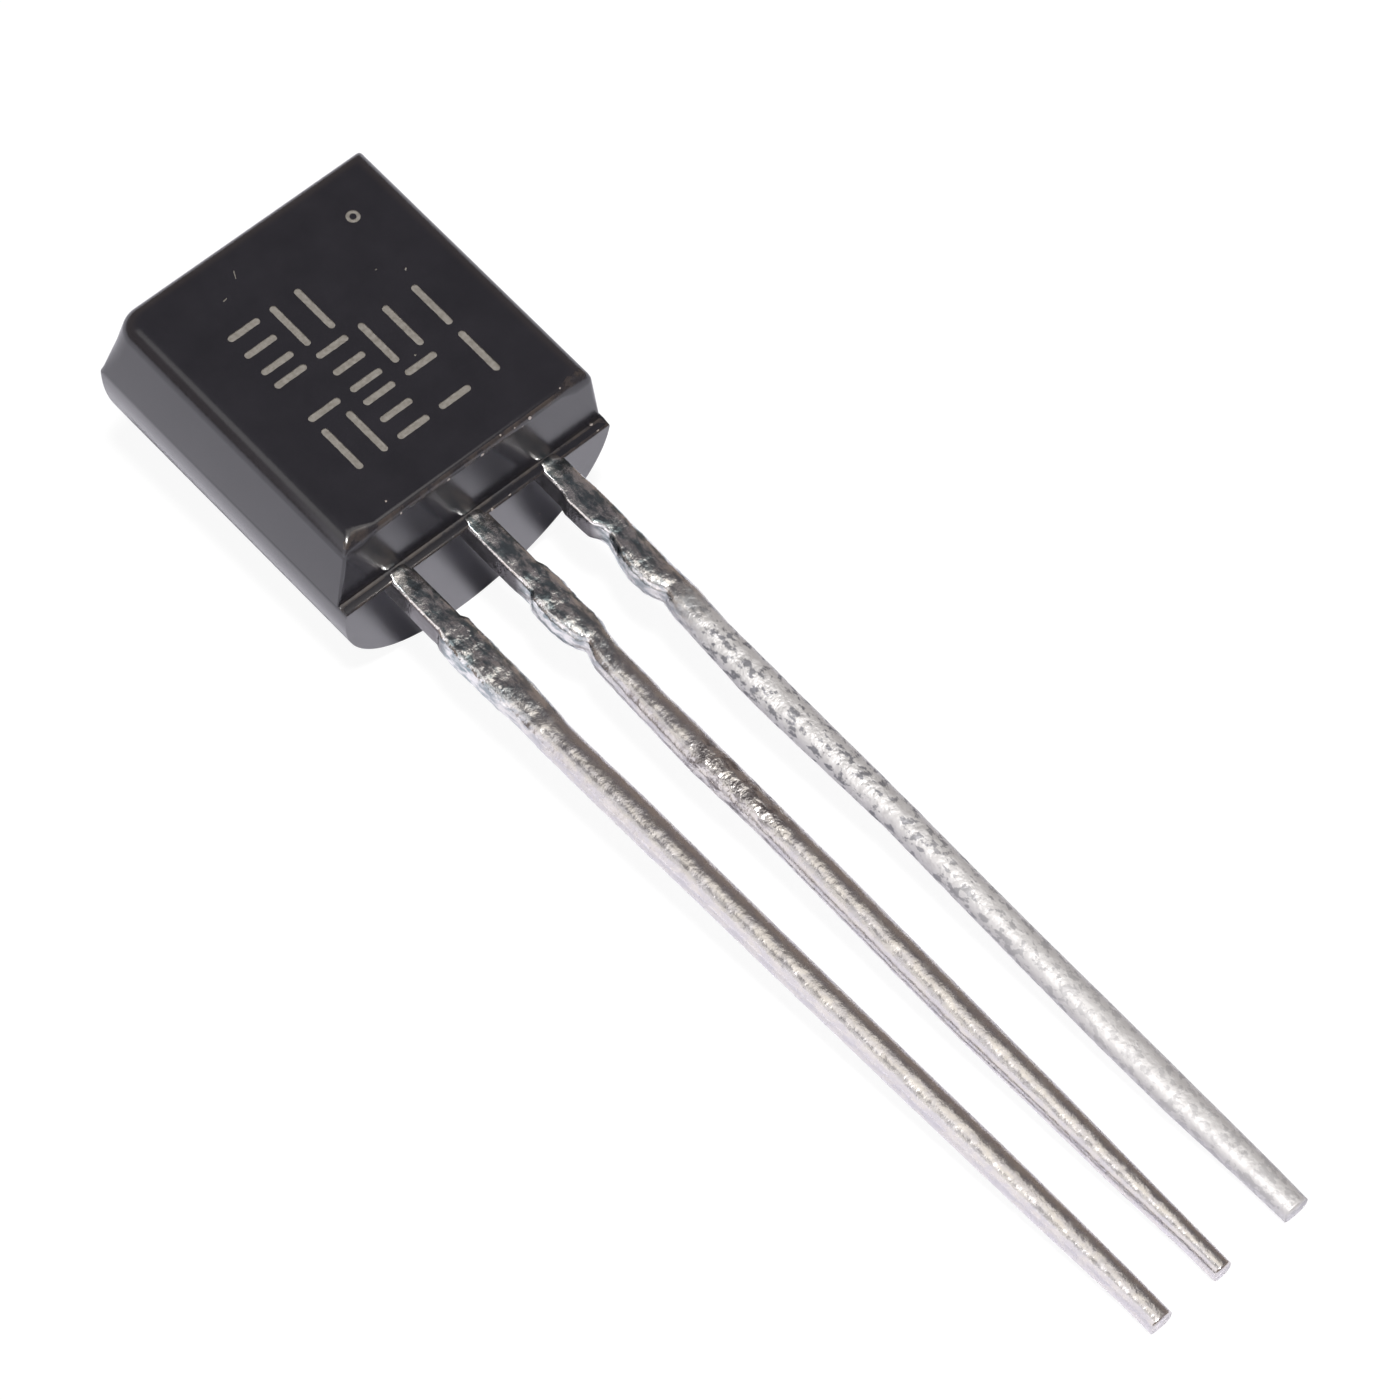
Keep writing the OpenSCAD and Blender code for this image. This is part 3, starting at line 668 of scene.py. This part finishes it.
def moulding():
    """The case before etching, in one closed shape."""
    shape = bmesh.new()
    shape.faces.layers.float.new(EDGE_MASK)
    # The back: a round bar under a flat strip of flank, closed off in the parting plane
    bmesh.ops.create_cone(
        shape, segments=BACK_SIDES, radius1=BACK_RADIUS, radius2=BACK_RADIUS,
        depth=BAR_LENGTH, cap_ends=True,
        matrix=Matrix.Translation((0, 0, -FLANK)) @ Matrix.Rotation(math.pi / 2, 4, "X"))
    bmesh.ops.bisect_plane(shape, geom=everything(shape), plane_co=(0, 0, -FLANK),
                           plane_no=(0, 0, 1), clear_outer=True, dist=ON_PLANE)
    rim = [e for e in shape.edges if e.is_boundary]
    grown = bmesh.ops.extrude_edge_only(shape, edges=rim)["geom"]
    bmesh.ops.translate(shape, verts=[v for v in grown if isinstance(v, bmesh.types.BMVert)],
                        vec=(0, 0, FLANK))
    bmesh.ops.contextual_create(shape, geom=[e for e in shape.edges if e.is_boundary])
    cut(shape, (0, CASE_LENGTH, 0), (0, BACK_DEPTH, -BACK_DRAFT))
    cut(shape, (0, -LEDGE, 0), (0, -BACK_DEPTH, -BACK_DRAFT))
    # The front: its footprint is scored in the parting plane and drawn up, narrower at the face
    top = [f for f in shape.faces if all(abs(v.co.z) < TINY for v in f.verts)]
    geom = list(dict.fromkeys(part for f in top for part in (*f.verts, *f.edges))) + top
    bmesh.ops.bisect_plane(shape, geom=geom, plane_co=(0, 0, 0), plane_no=(0, 1, 0), dist=ON_PLANE)
    foot = [f for f in shape.faces
            if all(abs(v.co.z) < TINY and v.co.y > -TINY for v in f.verts)]
    raised = [v for v in bmesh.ops.extrude_face_region(shape, geom=foot)["geom"]
              if isinstance(v, bmesh.types.BMVert)]
    bmesh.ops.delete(shape, geom=[f for f in foot if f.is_valid], context="FACES_ONLY")
    bmesh.ops.translate(shape, verts=raised, vec=(0, 0, FRONT_DEPTH))
    for v in raised:
        v.co.x -= math.copysign(SIDE_DRAFT, v.co.x)
        v.co.y += math.copysign(END_DRAFT, CASE_LENGTH / 2 - v.co.y)
    # Rounded corners and edges
    for height, _ in FAR_CORNER_RINGS[1:-1]:
        bmesh.ops.bisect_plane(shape, geom=everything(shape), plane_co=(0, 0, height),
                               plane_no=(0, 0, 1), dist=ON_PLANE)
    round_edges(shape, corner_edges(shape, -1, CASE_LENGTH), FAR_CORNER_ROUND, FAR_CORNER_STEPS)
    for height, reach in FAR_CORNER_RINGS:
        drawn = height / FRONT_DEPTH
        corner = Vector((SIDE_DRAFT * drawn - CASE_WIDTH / 2, CASE_LENGTH - END_DRAFT * drawn,
                         height))
        near = CORNER_HOLD * FAR_CORNER_ROUND
        for v in shape.verts:
            if abs(v.co.z - height) < TINY and (v.co - corner).length < near:
                v.co = corner + (v.co - corner) * reach / FAR_CORNER_ROUND
    face = max(shape.faces, key=lambda f: f.calc_center_median().z)
    round_edges(shape, list(face.edges), FACE_EDGE_REACH, FACE_EDGE_STEPS)
    round_edges(shape, corner_edges(shape, -1, 0), LEFT_CORNER_ROUND, LEFT_CORNER_STEPS)
    round_edges(shape, corner_edges(shape, 1, 0), RIGHT_CORNER_ROUND, RIGHT_CORNER_STEPS)
    round_edges(shape, corner_edges(shape, 1, CASE_LENGTH), LEFT_CORNER_ROUND, LEFT_CORNER_STEPS)
    lead_end = min(shape.faces, key=lambda f: f.calc_center_median().y)
    ledge_rim = round_edges(shape, list(lead_end.edges), LEDGE_ROUND, RIM_STEPS)
    # The face's edge is tighter above the leads than round the corners
    strip = [f for f in shape.faces if abs(f.calc_center_median().x) < STRIP_MIDDLE
             and f.calc_center_median().y < END_DRAFT + FACE_EDGE_REACH
             and f.calc_center_median().z > FRONT_DEPTH - FACE_EDGE_REACH]
    geometry = list(dict.fromkeys(part for f in strip for part in (f, *f.edges, *f.verts)))
    half_way = (TIGHT_FULL + 1) / 2
    for share in (-1, -half_way, -TIGHT_FULL, TIGHT_FULL, half_way, 1):
        geometry = bmesh.ops.bisect_plane(shape, geom=geometry, dist=ON_PLANE, plane_no=(1, 0, 0),
                                          plane_co=(share * TIGHT_UNTIL, 0, 0))["geom"]
    for v in geometry:
        if isinstance(v, bmesh.types.BMVert) and abs(v.co.x) < TIGHT_UNTIL + TINY:
            loose = max(0, abs(v.co.x) / TIGHT_UNTIL - TIGHT_FULL) / (1 - TIGHT_FULL)
            reach = TIGHT_SHARE + (1 - TIGHT_SHARE) * loose
            v.co.y = END_DRAFT + (v.co.y - END_DRAFT) * reach
            v.co.z = FRONT_DEPTH + (v.co.z - FRONT_DEPTH) * reach
    # The faces that carry the painted highlight: the ledge's rim, and a band of the face's rounded
    # edge above the leads
    layer = shape.faces.layers.float[EDGE_MASK]
    for f in shape.faces:
        middle = f.calc_center_median()
        if middle.y < FACE_EDGE_REACH and HIGHLIGHT_FROM < middle.z < HIGHLIGHT_TO and f.normal.y < 0:
            f[layer] = 1.0
    for f in ledge_rim:
        if f.is_valid and f.calc_center_median().z > -2 * LEDGE_ROUND:
            f[layer] = 1.0
    far_arc = [e for e in shape.edges
               if all(v.co.y > CASE_LENGTH - BACK_DRAFT - TINY and v.co.z < TINY - FLANK
                      for v in e.verts) and e.calc_face_angle(0) > RIM_TURN]
    round_edges(shape, far_arc, BACK_EDGE_ROUND, RIM_STEPS)
    return shape


def stroke(shape, x, y, length, width, turn, ragged):
    """One etched stroke with round ends: a disc pulled apart, its sides a little ragged."""
    before = len(shape.verts)
    made = bmesh.ops.create_circle(shape, segments=STROKE_SIDES, radius=width / 2,
                                   matrix=Matrix.Rotation(math.pi / STROKE_SIDES, 4, "Z"))["verts"]
    half = (length - width) / 2
    for v in made:
        v.co.x += math.copysign(half, v.co.x)
    rim = dict.fromkeys(e for v in made for e in v.link_edges)
    long_sides = [e for e in rim if e.calc_length() > half + TINY]
    bmesh.ops.subdivide_edges(shape, edges=long_sides, cuts=max(1, round(length / STROKE_STEP)))
    made = list(shape.verts)[before:]
    place = Matrix.Translation((x, y, 0)) @ Matrix.Rotation(math.radians(turn), 4, "Z")
    bmesh.ops.transform(shape, matrix=place, verts=made)
    # This noise starts from the clock, so each run leaves the sides ragged a little differently
    for v in made:
        v.co += ragged * noise.noise_vector(v.co * RAGGED_PER_MM).to_2d().to_3d()
    bmesh.ops.contextual_create(shape, geom=list(dict.fromkeys(
        e for v in made for e in v.link_edges)))


def etching():
    """What the laser took away: all marks and nicks as one cutter that stands in the face."""
    shape = bmesh.new()
    for row, marks in enumerate(MARKS):
        for column, (kind, strokes) in enumerate(marks):
            x = MARK_SHIFT + (column - MIDDLE_COLUMN) * MARK_PITCH
            y = FIRST_ROW_Y + row * ROW_PITCH
            span = (MARK_HEIGHT if kind == "h" else MARK_WIDTH) - MARK_STROKE
            for i in range(strokes):
                place = span * (i / (strokes - 1) - 0.5) if strokes > 1 else 0
                if kind == "h":
                    stroke(shape, x, y + place, MARK_WIDTH, MARK_STROKE, 0, MARK_RAGGED)
                else:
                    stroke(shape, x + place, y, MARK_HEIGHT, MARK_STROKE, 90, MARK_RAGGED)
    for x, y, length, width, turn in NICKS:
        stroke(shape, x, y, length, width, turn, NICK_RAGGED)
    rims = [bmesh.ops.create_circle(shape, segments=RING_MARK_SIDES, radius=radius,
                                    matrix=Matrix.Translation((RING_X, RING_Y, 0)))["verts"]
            for radius in (RING_OUTER, RING_INNER)]
    bmesh.ops.bridge_loops(shape, edges=list(dict.fromkeys(
        e for rim in rims for v in rim for e in v.link_edges)))
    for v in shape.verts:
        v.co.z = FRONT_DEPTH - MARK_DEPTH
    raised = [v for v in bmesh.ops.extrude_face_region(shape, geom=shape.faces[:])["geom"]
              if isinstance(v, bmesh.types.BMVert)]
    bmesh.ops.translate(shape, verts=raised, vec=(0, 0, CUTTER_HEIGHT))
    bmesh.ops.recalc_face_normals(shape, faces=shape.faces)
    for face in shape.faces:
        face.material_index = 1
    return shape


blank_shape = moulding()
bmesh.ops.recalc_face_normals(blank_shape, faces=blank_shape.faces)
blank = new_object(blank_shape, "blank", EPOXY, ETCHED)
cutter = new_object(etching(), "cutter", EPOXY, ETCHED)
pockets = blank.modifiers.new("pockets", "BOOLEAN")
pockets.operation, pockets.solver, pockets.object = "DIFFERENCE", "EXACT", cutter
etched = bmesh.new()
etched.from_object(blank, bpy.context.evaluated_depsgraph_get())
for spare in (blank, cutter):
    bpy.data.objects.remove(spare)
case = settle(etched, "moulded_case", EPOXY, ETCHED)

# Faces are shaded smoothly except across the case's true edges
SHARP_ANGLE, WEIGHT_BY_AREA = math.radians(30), 100
sharp = bmesh.new()
sharp.from_mesh(case.data)
for edge in sharp.edges:
    edge.smooth = edge.calc_face_angle(0) < SHARP_ANGLE
sharp.to_mesh(case.data)
sharp.free()
weighted = case.modifiers.new("weighted", "WEIGHTED_NORMAL")
weighted.weight, weighted.keep_sharp = WEIGHT_BY_AREA, True

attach(case, "root")
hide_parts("case")
